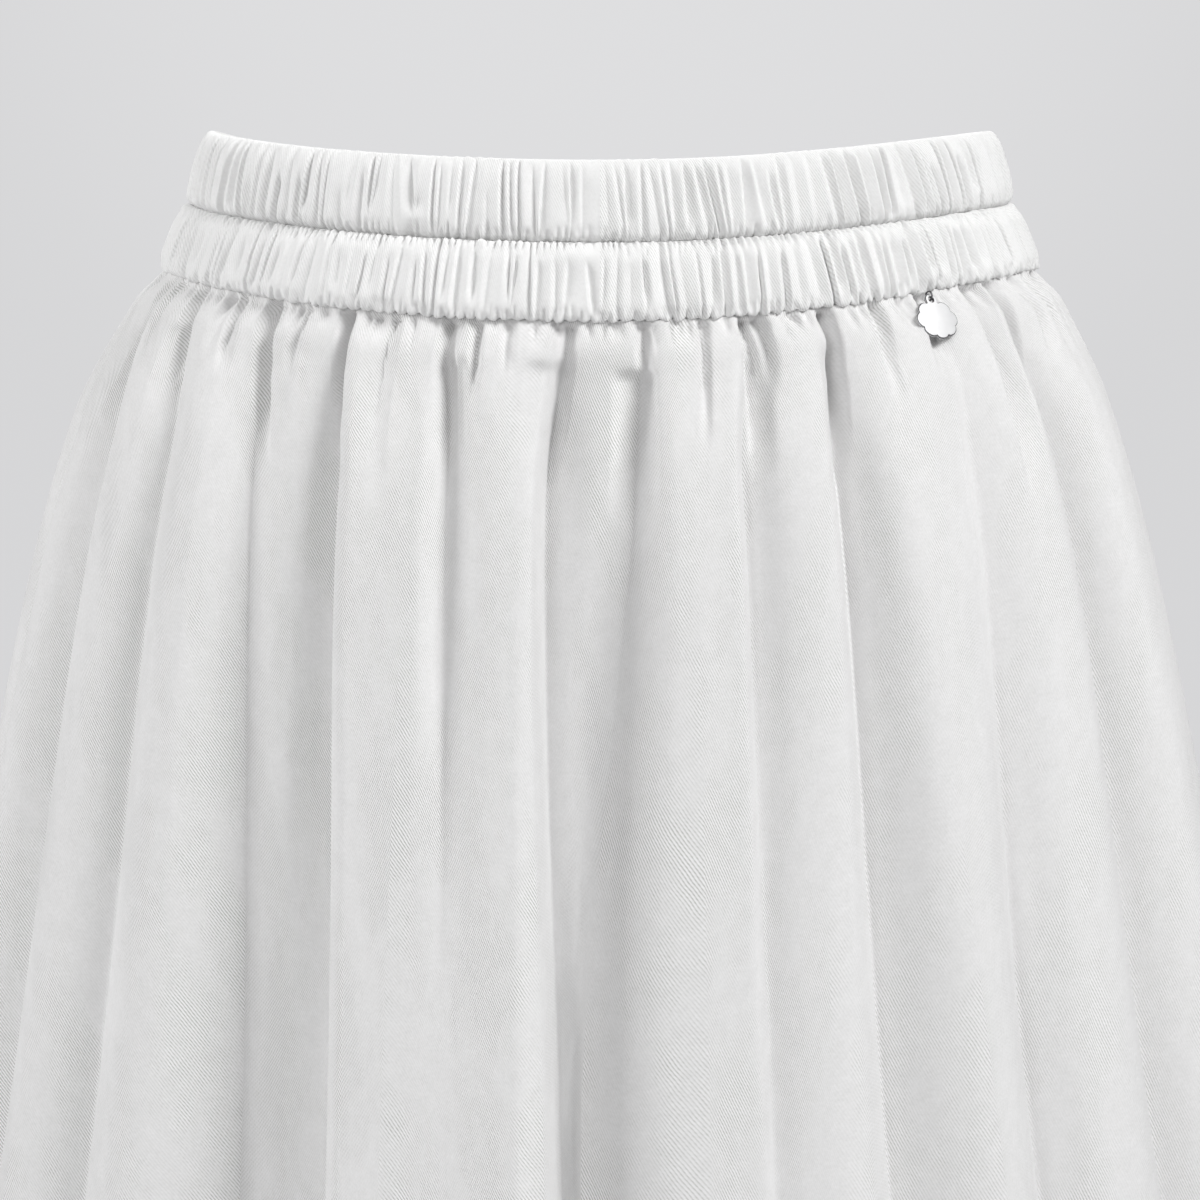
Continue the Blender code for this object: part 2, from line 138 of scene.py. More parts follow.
TWILL_PITCH = 0.00084  # from one twill line to the next
TWILL_LEAN = 60.0  # degrees from the level
TWILL_WOBBLE = 7.0  # radians
FLOAT_PITCH = TWILL_PITCH * 1.3
FLOAT_SHARE = 0.28  # how much of a rib is broken into floats
WOBBLE_SCALE, PATCH_SCALE, SLUB_SCALE, YARN_SCALE = 90.0, 40.0, 170.0, 900.0  # bumps to a metre
SHADE_MIDDLE = 0.35  # how dark the cloth is where the weave is faint
DASH_MIDDLE = 0.29  # the mean of the weave's pattern
WEAVE_DEPTH = 0.00014
GRAIN_STRETCH = 0.38  # under 1 draws the patches of clearer weave out down the cloth
CLEARER_LEFT = 1.35  # the weave's strength at the left of a panel's middle, and at its right
CLEARER_RIGHT = 0.8
STITCH = 0.0028  # from one hem stitch to the next
STITCH_WIDE = 0.0004
STITCH_DOWN = 0.0018  # below the turned-up edge

CAMERA_DISTANCE = 1.5
CAMERA_HEIGHT = 0.025
CAMERA_DOWN = 6.1  # degrees
CAMERA_LENS = 131.58
FLOOR_SIDE = 2.5
FLOOR_DROP = 0.002
LAMP_AIM = Vector((0, 0, -0.2))
LAMP_DISTANCE = 2.6
LAMP_SIZE = 1.0

# ---- the form, as in the solids


def rows_of(kind, *rows):
    """A table: one record of this kind for each row."""
    return [kind(*row) for row in rows]


Section = namedtuple("Section", "level half_width half_depth front_dip back_dip")
SECTIONS = rows_of(
    Section,
    (0.025, 0.1322, 0.0965, 0.009, 0.0132),
    (0, 0.1392, 0.1024, 0.0104, 0.0142),
    (-0.0212, 0.148, 0.1096, 0.0141, 0.015),
    (-0.0325, 0.1582, 0.116, 0.0145, 0.015),
    (-0.05, 0.1698, 0.124, 0.014, 0.0145),
    (-0.067, 0.1784, 0.1305, 0.013, 0.0135),
    (-0.101, 0.1895, 0.1395, 0.0105, 0.011),
    (-0.135, 0.1983, 0.1465, 0.0085, 0.0085),
    (-0.169, 0.206, 0.1535, 0.007, 0.007),
    (-0.34, 0.24, 0.186, 0.003, 0.003),
    (-0.6, 0.289, 0.232, 0.0008, 0.0008),
    (-0.895, 0.344, 0.278, 0, 0),
)
TOP_EDGE, MID_SEAM, LOWER_SEAM, HEM = (SECTIONS[i].level for i in (0, 1, 2, -1))
TURNED_EDGE = HEM + HEM_TURN

# The lines of the folds, in order round the skirt from the left side seam: a crest (r) or a
# valley (v). Each has its angle at four levels (degrees), its inset from the outline at three
# (mm), and the share of the way to the next line on its left and right that its side takes up.
# A row that ends after its angles is a crest that lies on the outline.
FOLD_LEVELS = (LOWER_SEAM, -0.075, -0.285, HEM)
Fold = namedtuple(
    "Fold", "name seam hip thigh hem in_hip in_thigh in_hem left right", defaults=(0, 0, 0, 1, 1)
)
FRONT_FOLDS = rows_of(
    Fold,
    ("r_side_left", -90, -90, -90, -90, 0, 2, 2),
    ("v01", -86, -82, -80, -79, 4, 10, 24, 0.8, 0.9),
    ("r01", -82, -73.8, -71, -69.5),
    ("v12", -76.5, -67.2, -61, -58, 6.8, 12, 21, 0.9, 0.6),
    ("r02", -67.5, -58.6, -55.5, -52),
    ("v23", -59.2, -52.6, -47, -43.4, 4.6, 6.4, 13, 0.9, 0.9),
    ("r03", -52.5, -47, -41, -37, 0.5, 0, 0),
    ("v34", -45.4, -40.6, -32.4, -24.4, 9.4, 15.6, 32, 0.8, 0.85),
    ("r04", -38.6, -34.6, -28.2, -21.6, 7, 14.6, 30),
    ("v45", -32.7, -28.2, -23.2, -18.4, 12.5, 15.6, 26, 0.9, 0.26),
    ("r05a", -30, -25.4, -20.6, -15, 0, 0, 1.5),
    ("r05b", -22.8, -19.4, -17.4, -12, 0.8, 0.6, 0),
    ("v56", -19.1, -16.2, -12.6, -8, 8, 1.4, 5, 0.8, 0.9),
    ("r06", -11.5, -9, -6.9, -3.2, 0, 0, 1),
    ("v67", -3.9, -5.8, -3.4, 0.8, 14.4, 20, 30, 0.34, 0.9),
    ("r07", 0.6, -0.6, -2.6, 1, 10.2, 20.7, 30.4),
    ("v78", 5, 3.8, -1.6, 1.8, 10.4, 18.6, 28.6, 0.9, 0.8),
    ("r08a", 8.6, 9.2, 8.6, 10.6, 0, 0.5, 1),
    ("r08b", 14.2, 12.9, 12, 13.4, 1, 1.2, 0),
    ("v89", 17.8, 15, 13.8, 16, 7.4, 3.2, 3.8, 0.6, 0.9),
    ("r09", 23.4, 22, 18.8, 22.5, 0.5, 1, 3),
    ("v910", 28.7, 25.8, 24.4, 28, 10, 12, 23, 0.6, 0.9),
    ("r10", 37, 32.4, 33.2, 34.6),
    ("v1011", 46.6, 43.4, 38.8, 42.2, 6.5, 10, 17, 0.6, 0.9),
    ("r11", 52.5, 50, 45, 47, 0.3, 0.5, 0),
    ("v1112", 59.6, 59.8, 58.2, 58.6, 12.5, 16, 31, 0.7, 0.9),
    ("r12", 70, 69, 68, 66.5),
    ("v1213", 79, 77, 75, 74, 6, 11, 24, 0.8, 0.9),
    ("r_side_right", 90, 90, 90, 90, 3.4, 4, 2),
)
BACK_FOLDS = rows_of(
    Fold,
    ("vb1", 98, 99, 101, 102, 7, 12, 24, 0.9, 0.5),
    ("rb1", 105.5, 107, 110.5, 112),
    ("vb2", 112.5, 114.8, 119, 120.5, 10, 16, 28, 0.35, 0.9),
    ("rb2", 119.5, 122, 126, 128.5, 0.5, 0, 2),
    ("vb3", 126, 128, 131.5, 134.5, 8.5, 9, 19, 0.8, 0.4),
    ("rb3", 132, 134.5, 138.5, 142),
    ("vb4", 138.5, 141, 146, 150, 12.5, 19, 31, 0.3, 0.9),
    ("rb4", 145, 147, 152.5, 157.5, 1, 2, 0),
    ("vb5", 151, 152.5, 157.5, 163.5, 9.5, 11, 22, 0.9, 0.35),
    ("rb5", 157, 159.5, 163.5, 170, 0, 0, 1),
    ("vb6", 164, 167, 171.5, 176, 12, 20, 30, 0.35, 0.85),
    ("rb6", 171, 173.5, 179, 183.5),
    ("vb7", 178.5, 181, 186.5, 190.5, 9, 13, 25, 0.9, 0.4),
    ("rb7", 186, 188.5, 193.5, 197, 0.5, 1, 2),
    ("vb8", 193, 196, 200.5, 203, 12, 18, 29, 0.8, 0.3),
    ("rb8", 200, 203, 207, 210),
    ("vb9", 207.5, 210.5, 213, 217, 8, 10, 21, 0.4, 0.9),
    ("rb9", 214, 217.5, 219.5, 224.5, 0.5, 0.5, 0),
    ("vb10", 221.5, 224, 227, 231, 11.5, 18, 30, 0.9, 0.35),
    ("rb10", 229, 231, 234.5, 238),
    ("vb11", 236.5, 238, 241.5, 244.5, 9, 12, 25, 0.45, 0.9),
    ("rb11", 244, 245.5, 249, 251.5, 0, 0, 1),
    ("vb12", 254, 255.5, 257.5, 259.5, 8, 14, 26, 0.9, 0.6),
)
FOLDS = FRONT_FOLDS + BACK_FOLDS

# The gathers below the waistband, one row each. at, mid and end are the angles of its line
# (degrees) where it starts, halfway and where it ends; start, length and onset are mm below the
# seam and down the cloth; depth is mm into the cloth (a ridge has a negative one), and left and
# right are the mm that its two sides take up.
Gather = namedtuple("Gather", "name at mid end length depth left right start onset", defaults=(-2, 1))
FRONT_GATHERS = rows_of(
    Gather,
    ("side", -80.4, -83.5, -87, 24, 3.6, 5.4, 3.6),
    ("into_v12", -73.8, -70.2, -69.3, 56, 5.2, 6.5, 4),
    ("beside_v12", -68.1, -67.2, -65, 32, 2.9, 4.5, 2.7),
    ("pocket_r02", -60.3, -58.6, -57.5, 26, 2.4, 5.4, 3.6, 12, 3),
    ("into_v23", -61.2, -57, -52.8, 50, 6.5, 6.1, 3.2),
    ("dimple_r03", -53.6, -52.6, -52.2, 22, 2.6, 4.5, 5.4),
    ("line_r03", -52, -49.9, -47.6, 28, 4.3, 2.5, 5.4),
    ("notch_r03", -48.5, -48.2, -47.8, 9, 2.2, 2.9, 2.9),
    ("into_v34", -45.4, -41.6, -38.2, 58, 8.7, 6.1, 4),
    ("notch_r04a", -41.6, -41.3, -41, 9, 2.3, 2.9, 2.9),
    ("line_r04", -39.2, -38.8, -37.6, 26, 3.6, 4.3, 2.7),
    ("ridge_r04", -37, -37, -36.8, 26, -0.9, 1.9, 1.9, 14, 5),
    ("notch_r04b", -36.3, -36.3, -36.2, 7, 1.7, 2.5, 2.5),
    ("into_v45", -33, -30.2, -28.3, 60, 8.7, 4.7, 3.2),
    ("notch_r05", -29.2, -28.8, -28.4, 14, 2.9, 3.2, 4),
    ("dimple_r05", -27.8, -27.6, -27.2, 12, 2, 2.7, 3.6),
    ("line_r05", -26.4, -24.6, -22.6, 70, 3.2, 9, 6),
    ("tip_r05", -24.7, -23, -21.4, 27, -0.8, 2.4, 2.4, 0, 3),
    ("faint_r05", -23.6, -22.8, -22, 15, 1.2, 2.2, 2.7),
    ("into_v56", -19.2, -17.6, -15.4, 60, 7.8, 3.1, 5.8),
    ("pocket_v56", -17, -16, -14.4, 38, 3.4, 4.6, 4, 10.5, 6),
    ("line_r06a", -15.7, -14.4, -15, 33, 4.3, 3.6, 3.2),
    ("wedge_r06", -13.4, -12.4, -10.6, 40, -0.8, 3.6, 3.6, 4, 10),
    ("line_r06b", -11.4, -11, -10.2, 22, 3.4, 2.8, 4.4),
    ("gap_v67", -4.1, -4, -3.9, 24, 5, 5, 2.8, -2, 1.6),
    ("pocket_v67", -4, -4.8, -6.4, 50, 4.6, 13.5, 2.6, 10.6, 5),
    ("notch_r07", 1.6, 1.7, 1.8, 8, 2.3, 2.7, 2.7),
    ("gap_v78", 5.6, 5.1, 5.4, 22, 5, 2.8, 2.2, -2, 1.6),
    ("pocket_v78", 5.5, 5.1, 4.2, 58, 6.8, 12.3, 2.6, 13.4, 5),
    ("notch_r08a", 9.6, 9.6, 9.6, 9, 2.9, 2.2, 2.7),
    ("line_r08", 12.6, 11.6, 10.8, 48, 3.2, 2.7, 3.1),
    ("into_v89", 18, 17, 16, 58, 6.7, 2.7, 8.3),
    ("line_v89", 19.8, 20, 18.4, 32, 4.3, 3.2, 2.9),
    ("notch_r09", 23.9, 24.2, 24.4, 8, 3.5, 3.6, 3.6),
    ("into_v910", 29, 27.4, 25.4, 62, 7.2, 2.7, 4),
    ("pocket_v910", 27, 26.4, 25.6, 40, 2.2, 2.8, 6, 9, 8),
    ("line_r10a", 36.6, 34.8, 34.3, 36, 4.3, 2.7, 4),
    ("line_r10b", 40.2, 40.4, 40, 15, 3.2, 2.7, 3.6),
    ("behind_charm", 44.6, 43, 42, 30, 5.8, 3.6, 9),
    ("into_v1011", 38.4, 37.4, 36.4, 104, 1.2, 3.2, 10.8, 24, 18),
    ("line_r11", 53.6, 51, 48.6, 78, 7, 3.6, 11),
    ("into_v1112", 59.4, 58, 55.6, 56, 6.1, 2.9, 7.2),
    ("line_r12a", 66.6, 66.4, 63.6, 32, 4.3, 2.9, 5.4),
    ("line_r12b", 72.4, 70.8, 69, 30, 3.8, 2.7, 5.4),
)


def curve(levels, values, at):
    """Smooth curves through values given at falling levels, read at other levels."""
    xs = -np.asarray(levels, float)
    ys = np.asarray(values, float).reshape(len(xs), -1)
    steps = np.diff(ys, axis=0) / np.diff(xs)[:, None]
    slopes = np.empty_like(ys)
    slopes[0], slopes[-1] = steps[0], steps[-1]
    same_way = steps[:-1] * steps[1:] > 0
    both = np.where(same_way, steps[:-1] + steps[1:], 1.0)
    slopes[1:-1] = np.where(same_way, 2 * steps[:-1] * steps[1:] / both, 0.0)
    x = np.clip(-np.asarray(at, float), xs[0], xs[-1])
    k = np.minimum(np.searchsorted(xs, x, side="right") - 1, len(xs) - 2)
    width = (xs[k + 1] - xs[k])[:, None]
    t = (x - xs[k])[:, None] / width
    rise = (2 * t**3 - 3 * t**2 + 1) * ys[k] + (3 * t**2 - 2 * t**3) * ys[k + 1]
    lean = (t**3 - 2 * t**2 + t) * slopes[k] + (t**3 - t**2) * slopes[k + 1]
    return rise + width * lean


def smooth(t):
    t = np.clip(t, 0, 1)
    return t * t * (3 - 2 * t)


def bell(x, width):
    """1 at nothing, falling to nearly 0 at twice the width."""
    return np.exp(-((x / width) ** 2))


def rings(levels):
    """half_width, half_depth, front_dip and back_dip at each level, as columns."""
    found = curve([s.level for s in SECTIONS], [s[1:] for s in SECTIONS], levels)
    return [found[:, i : i + 1] for i in range(4)]


def ring_points(levels, angles):
    """Points of the outline; angles in radians, one row to a level."""
    half_width, half_depth, front_dip, back_dip = rings(levels)
    across = np.cos(angles)
    dip = np.where(across > 0, front_dip, back_dip)
    power = np.where(across < 0, FALL_BACK, np.where(np.sin(angles) > 0, FALL_RIGHT, FALL_LEFT))
    heights = np.asarray(levels)[:, None] - dip * np.abs(across) ** power
    return np.stack([half_width * np.sin(angles), -half_depth * across, heights], axis=2)


def squares(levels, angles):
    """Level unit vectors square to the outline at each of those points."""
    half_width, half_depth, _, _ = rings(levels)
    x, y = np.sin(angles) / half_width, -np.cos(angles) / half_depth
    size = np.hypot(x, y)
    return np.stack([x / size, y / size, np.zeros_like(x)], axis=2)


def soft_noise(x, y, seed):
    """Smooth noise from -1 to 1 with one bump to a unit."""
    side = 64
    lattice = np.random.default_rng(seed).uniform(-1, 1, (side, side))
    x0, y0 = np.floor(x).astype(int), np.floor(y).astype(int)
    tx, ty = smooth(x - x0), smooth(y - y0)

    def at(i, j):
        return lattice[(x0 + i) % side, (y0 + j) % side]

    low = at(0, 0) * (1 - tx) + at(1, 0) * tx
    high = at(0, 1) * (1 - tx) + at(1, 1) * tx
    return low * (1 - ty) + high * ty


def add_object(name, data):
    obj = bpy.data.objects.new(name, data)
    bpy.context.scene.collection.objects.link(obj)
    return obj


def smooth_object(mesh, *finishes):
    """Puts a mesh into the scene, shaded smooth."""
    for finish in finishes:
        mesh.materials.append(finish)
    mesh.shade_smooth()
    return add_object(mesh.name, mesh)


def new_mesh(name, points, faces):
    mesh = bpy.data.meshes.new(name)
    mesh.from_pydata(points, [], faces)
    return mesh


def cloth_object(mesh, marks, finish, outer):
    """Gives each face corner its place on the flat cloth, and turns the outer faces outward."""
    mesh.uv_layers.new(name="cloth").data.foreach_set("uv", marks.astype(np.float32).ravel())
    faces = mesh.polygons[outer]
    if sum(f.normal.dot(Vector((f.center.x, f.center.y, 0))) * f.area for f in faces) < 0:
        mesh.flip_normals()
    return smooth_object(mesh, finish)


# ---- panels


def soft_rise(t):
    t = np.clip(t, 0, 1)
    wave = (1 - np.cos(math.pi * t**FOLD_EASE)) / 2
    return (1 - CREST_ROUND) * wave + CREST_ROUND * (1 - (1 - t) ** 2)


def fold_rise(way, share, other):
    """The cloth's rise from a valley (0) to the next crest (1), steep first on the sharper side."""
    if min(share, other) > EVEN_SHARE:
        return soft_rise(way / share)
    if share < other:
        return STEEP_PART * soft_rise(way / share) + (1 - STEEP_PART) * (1 - (1 - way) ** 2)
    return SLOW_PART * soft_rise(way) + (1 - SLOW_PART) * (1 - (1 - way) ** SLOW_ROUND)


def fold_grid(levels, first, last):
    """Angles (degrees) and insets (mm) of a panel's grid, with columns that follow the folds."""
    start = FOLDS[0]
    lines = [*FOLDS, Fold(start.name, *(angle + 360 for angle in start[1:5]), *start[5:])]
    table = np.transpose([fold[1:8] for fold in lines])  # four rows of angles and three of insets
    angles = curve(FOLD_LEVELS, table[:4], levels)
    insets = curve(FOLD_LEVELS, [0 * table[0], *table[4:]], levels)
    below = LOWER_SEAM - levels
    eased = EASED * smooth((below - EASED_FROM) / EASED_OVER)[:, None]
    found_angles, found_insets = [], []
    for k in range(first, last):
        here, there = lines[k], lines[k + 1]
        steps = max(4, round((there.seam - here.seam) * COLUMNS_TO_A_DEGREE))
        s = np.arange(steps + (k == last - 1)) / steps
        way, shares = s, (here.right, here.left)
        valley, crest = insets[:, k : k + 1], insets[:, k + 1 : k + 2]
        if there.name[0] == "v":
            way, shares = 1 - s, (there.left, there.right)
            valley, crest = crest, valley
        gentle = rise = soft_rise(way)
        if here.name[0] == "v" or there.name[0] == "v":
            rise = fold_rise(way, *shares)
        found_angles.append(angles[:, k : k + 1] * (1 - s) + angles[:, k + 1 : k + 2] * s)
        found_insets.append(valley + (crest - valley) * (rise + (gentle - rise) * eased))
    return np.hstack(found_angles), np.hstack(found_insets)


def line_angle(gather, t):
    """The angle of a gather's line where it has run the share t of its length."""
    return gather.at * (1 - t) * (1 - 2 * t) + gather.mid * 4 * t * (1 - t) + gather.end * t * (2 * t - 1)


def gather_depth(gathers, levels, angles):
    """Millimetres that the gathers press into the cloth at each point of a grid."""
    below = (LOWER_SEAM - levels) * MM
    half_width, half_depth, _, _ = rings(levels)
    radians = np.radians(angles)
    run = np.hypot(half_width * np.cos(radians), half_depth * np.sin(radians))
    mm_to_a_degree = run * math.radians(1) * MM
    depth = np.zeros_like(angles)
    for g in gathers:
        rows = np.flatnonzero((below > g.start) & (below < g.start + g.length))
        t = ((below[rows] - g.start) / g.length)[:, None]
        off = (angles[rows] - line_angle(g, t)) * mm_to_a_degree[rows]
        off = np.where(off < 0, off / g.left, off / g.right)
        if g.onset > POCKET_ONSET:  # deepest at its right
            floor = np.where(off < 0, (1 + np.clip(off, -1, 0)) ** 0.5, 1.0)
            across = floor * np.clip(1 - np.abs(off) ** POCKET_ROUND, 0, None)
        else:
            across = np.clip(1 - np.abs(off / GATHER_WIDTH) ** GATHER_ROUND, 0, None)
        caught = (below[rows, None] - max(g.start, 0.0)) / max(g.onset, CAUGHT)
        down = smooth(caught) * (1 - smooth((t - FADE_FROM) / (1 - FADE_FROM)))
        depth[rows] += GATHER_DEPTH * g.depth * down * across
    return depth


def between_lines(lines, deep, peak, places, sharpness):
    """Height between crease lines: 1 less deep on a line, and 1 on the crest that follows it."""
    k = np.clip(np.searchsorted(lines, places, side="right") - 1, 0, len(lines) - 2)
    share = (places - lines[k]) / (lines[k + 1] - lines[k])
    rising = share < peak[k]
    way = np.where(rising, share / peak[k], (1 - share) / (1 - peak[k]))
    low = np.where(rising, deep[k], deep[k + 1])
    return 1 - low * (1 - np.clip(way, 0, 1)) ** sharpness


def puffed(gathers, levels, angles, seed):
    """How far the cloth between two gathers stands out below the seam, 0 on a line and 1 between."""
    drawn = sorted((g for g in gathers if g.start < 0 and g.depth > 0), key=lambda g: g.at)
    peak = np.random.default_rng(seed).uniform(0.3, 0.75, len(drawn) + 1)
    below = (LOWER_SEAM - levels) * MM
    height = np.ones_like(angles)
    for i in np.flatnonzero(below < PUFF_REACH):
        run = [min((below[i] - g.start) / g.length, 1.0) for g in drawn]
        at = np.array([line_angle(g, t) for g, t in zip(drawn, run)])
        at = np.maximum.accumulate(at + 0.001 * np.arange(len(at)))
        deep = [(1 - t * t) * min(1.0, 0.45 + g.depth / 12) for g, t in zip(drawn, run)]
        lines = np.concatenate([[angles[i, 0] - 1], at, [angles[i, -1] + 1]])
        deep = np.array([0.4, *deep, 0.4])
        height[i] = between_lines(lines, deep, peak, angles[i], PUFF_SHARPNESS)
    return height


def seeded_gathers(first, last, seed):
    """Gathers like the front's for a stretch that has no table, uneven in every size."""
    pick = np.random.default_rng(seed)
    found = []
    for fold in FOLDS:
        if fold.name[0] == "v" and first < fold.seam < last:
            sides = (3.0, pick.uniform(6.0, 9.0))
            left, right = sides if fold.left < fold.right else sides[::-1]
            mid = fold.seam * 0.4 + fold.hip * 0.6
            depth = pick.uniform(4.0, 6.0)
            found.append(Gather("into", fold.seam, mid, fold.hip, 58, depth, left, right))
            if pick.random() < 0.5:
                sizes = (48, 3.0, left + 2.5, right + 2.5, pick.uniform(9, 14), 9)
                found.append(Gather("pocket", mid, mid, fold.hip, *sizes))
    angle = first + 1.5
    while angle < last - 1.0:
        drift = pick.uniform(-1.2, 1.2)
        length = pick.choice([9, 14, 22, 34, 44]) * pick.uniform(0.85, 1.15)
        depth = pick.uniform(2.0, 3.4) + length * 0.035
        left, right = pick.uniform(2.4, 3.6), pick.uniform(3.5, 7.0)
        if pick.random() < 0.5:
            left, right = right, left
        mid, end = angle + drift * 0.7, angle + drift
        found.append(Gather("line", angle, mid, end, length, depth, left, right))
        angle += pick.uniform(2.6, 5.2)
    return found


def seam_notches(first, last, seed):
    """The smallest gathers, just under the waistband, uneven in size and spacing."""
    pick = np.random.default_rng(seed)
    found, angle = [], first
    while angle < last:
        drift = pick.uniform(-0.3, 0.3)
        depth, length = pick.uniform(1.2, 2.6), pick.uniform(6, 13)
        left, right = pick.uniform(1.6, 2.6), pick.uniform(1.6, 2.6)
        mid, end = angle + drift / 2, angle + drift
        found.append(Gather("notch", angle, mid, end, length, depth, left, right))
        angle += pick.uniform(1.5, 3.1)
    return found


def panel_levels():
    """An odd number of levels, close together in the gathers and wide apart near the hem."""
    below, found = 0.1, []
    end = (LOWER_SEAM - TURNED_EDGE) * MM - 2
    while below < end:
        found.append(LOWER_SEAM - below / MM)
        below += float(np.interp(below, *zip(*ROW_SPACINGS)))
    found += [TURNED_EDGE + 0.001, TURNED_EDGE, HEM + 0.011, HEM + 0.0012, HEM]
    return np.array(found if len(found) % 2 else found[:-7] + found[-6:])


def panel_insets(levels, angles, folds, gathers, seed):
    """Millimetres that the cloth lies inside the outline at each point of a panel's grid."""
    below = ((LOWER_SEAM - levels) * MM)[:, None]
    insets = folds * DEEPER + gather_depth(gathers, levels, angles)
    rounded = 1 - puffed(gathers, levels, angles, seed + 5)
    fading = 1 - smooth(below / PUFF_REACH)
    insets += PUFF_ROUND * rounded * smooth(below / CAUGHT) * fading
    insets += SEAM_GROOVE * bell(below, SEAM_GROOVE_REACH)
    insets -= PUFF * bell(below - PUFF_AT, PUFF_AT)
    for i, ripple in enumerate(RIPPLES):
        across = angles * MM_TO_A_DEGREE / ripple.across
        noise = soft_noise(across, below / ripple.down, seed + i)
        insets += ripple.depth * smooth(below / RIPPLE_FADE) * noise
    insets -= HEM_STEP * smooth((below - (LOWER_SEAM - TURNED_EDGE) * MM) / 1.5)
    return insets


def wall_normals(outer, square):
    """Unit normals of a panel's face, level at its top and hem and along its side seams."""
    normals = np.cross(np.gradient(outer, axis=0), np.gradient(outer, axis=1))
    normals /= np.linalg.norm(normals, axis=2, keepdims=True)
    if (normals * square).sum() < 0:
        normals = -normals
    normals[[0, -1], :, 2] = 0
    normals[:, [0, -1], 1] = 0
    return normals / np.linalg.norm(normals, axis=2, keepdims=True)


def panel_cloth(levels, radians, outer):
    """Cloth lengths in metres: along the cut, from its middle, and down from the seam.

    The cut widens evenly, so its grain spreads a little towards the side seams.
    """
    fullest = np.searchsorted(-levels, -(LOWER_SEAM - 0.07))
    run = np.linalg.norm(np.diff(outer[fullest], axis=0), axis=1)
    place = np.concatenate([[0], np.cumsum(run)])
    place = place / place[-1] - 0.5
    drop = np.linalg.norm(np.diff(ring_points(levels, radians), axis=0), axis=2)
    v = -np.vstack([np.zeros((1, radians.shape[1])), np.cumsum(drop, axis=0)])
    u = place[None, :] * (PANEL_TOP + (PANEL_HEM - PANEL_TOP) * -v / CUT_LENGTH)
    return np.stack([u, v], axis=2)


def panel(name, first, last, side, gathers, seed, finish):
    """Half of the skirt between its side seams: a wall of cloth with a fine outer face."""
    levels = panel_levels()
    angles, folds = fold_grid(levels, first, last)
    if angles.shape[1] % 2 == 0:  # the inner face takes every other column
        extra = angles.shape[1] // 3
        angles, folds = np.delete(angles, extra, axis=1), np.delete(folds, extra, axis=1)
    radians = np.radians(angles)
    insets = panel_insets(levels, angles, folds, gathers, seed)
    square = squares(levels, radians)
    outer = ring_points(levels, radians) - square * insets[:, :, None] / MM
    outer[0, :, 2] += TUCK
    # The side edges curl in to the seam, and end 0.15 mm from the middle plane.
    edge = np.abs(outer[:, :, 1])
    outer -= square * (SEAM_TURN * bell(edge, SEAM_TURN_WIDE))[:, :, None]
    outer[:, [0, -1], 1] = side * SEAM_GAP / 2

    walls = np.where(levels < TURNED_EDGE + 0.0005, HEM_WALL, WALL)[:, None, None]
    inner = (outer - wall_normals(outer, square) * walls)[::2, ::2]
    inner[-1, :, 2] = outer[-1, ::2, 2]
    return two_grids(name, outer, inner, panel_cloth(levels, radians, outer), finish)


def two_grids(name, outer, inner, cloth, finish):
    """A closed wall from a fine outer grid and an inner one of half its rows and columns."""
    points = np.vstack([outer.reshape(-1, 3), inner.reshape(-1, 3)])
    marks = np.vstack([cloth.reshape(-1, 2), cloth[::2, ::2].reshape(-1, 2)])
    out = np.arange(outer[:, :, 0].size).reshape(outer.shape[:2])
    inn = out.size + np.arange(inner[:, :, 0].size).reshape(inner.shape[:2])

    def quads(grid):
        corners = (grid[:-1, :-1], grid[1:, :-1], grid[1:, 1:], grid[:-1, 1:])
        return np.stack([c.ravel() for c in corners], axis=1)

    def close(fine, wide, turn):
        """Joins the first and last rows of the two grids, three points to two."""
        for j in range(wide.shape[1] - 1):
            for i, way in ((0, turn), (-1, -turn)):
                ring = fine[i, 2 * j : 2 * j + 3].tolist() + wide[i, j : j + 2][::-1].tolist()
                faces.append(ring[::way])

    faces = quads(out).tolist() + quads(inn)[:, ::-1].tolist()
    close(out, inn, 1)
    close(out.T, inn.T, -1)
    mesh = new_mesh(name, points.tolist(), faces)
    return cloth_object(mesh, marks[np.concatenate(faces)], finish, slice(out.shape[1]))


# ---- waistband

# One crease line of a channel: where it lies at the channel's top and bottom (mm round the ring
# from the centre front), the shares of the way down where it starts and ends, how deep it is
# (a share of the cloth's swell), and where the crest that follows it stands between it and the
# next one (0.5 is halfway; more makes the next crease steep on its left).
Crease = namedtuple("Crease", "top bottom start end depth crest")


def crease_row(around, seed, crease, first, last, nearest, widest):
    """Creases round the ring: first and last mm from its ends, nearest to widest mm apart."""
    pick = np.random.default_rng(seed)
    found, place = [], first
    while place < around - last:
        lean, *sizes = crease(pick)
        found.append(Crease(place, place + lean, *sizes))
        place += pick.uniform(nearest, widest)
    return found


def upper_crease(pick):
    """Runs down to the middle seam, and is usually steep on its left."""
    lean = pick.normal(2.0, 1.5)
    start = pick.uniform(-0.35, -0.05) if pick.random() < 0.75 else pick.uniform(0.1, 0.4)
    end = 1.4 if pick.random() < 0.8 else pick.uniform(0.8, 1.1)
    crest = pick.uniform(0.6, 0.8) if pick.random() < 0.75 else pick.uniform(0.3, 0.5)
    return lean, start, end, pick.uniform(0.3, 1.0), crest


def lower_crease(pick):
    """Deepest at mid height, between wider puffs."""
    lean = pick.normal(0.3, 1.2)
    start, end = pick.uniform(-0.3, 0.15), pick.uniform(0.85, 1.3)
    crest = pick.uniform(0.55, 0.85) if pick.random() < 0.6 else pick.uniform(0.25, 0.5)
    return lean, start, end, pick.uniform(0.3, 1.0), crest


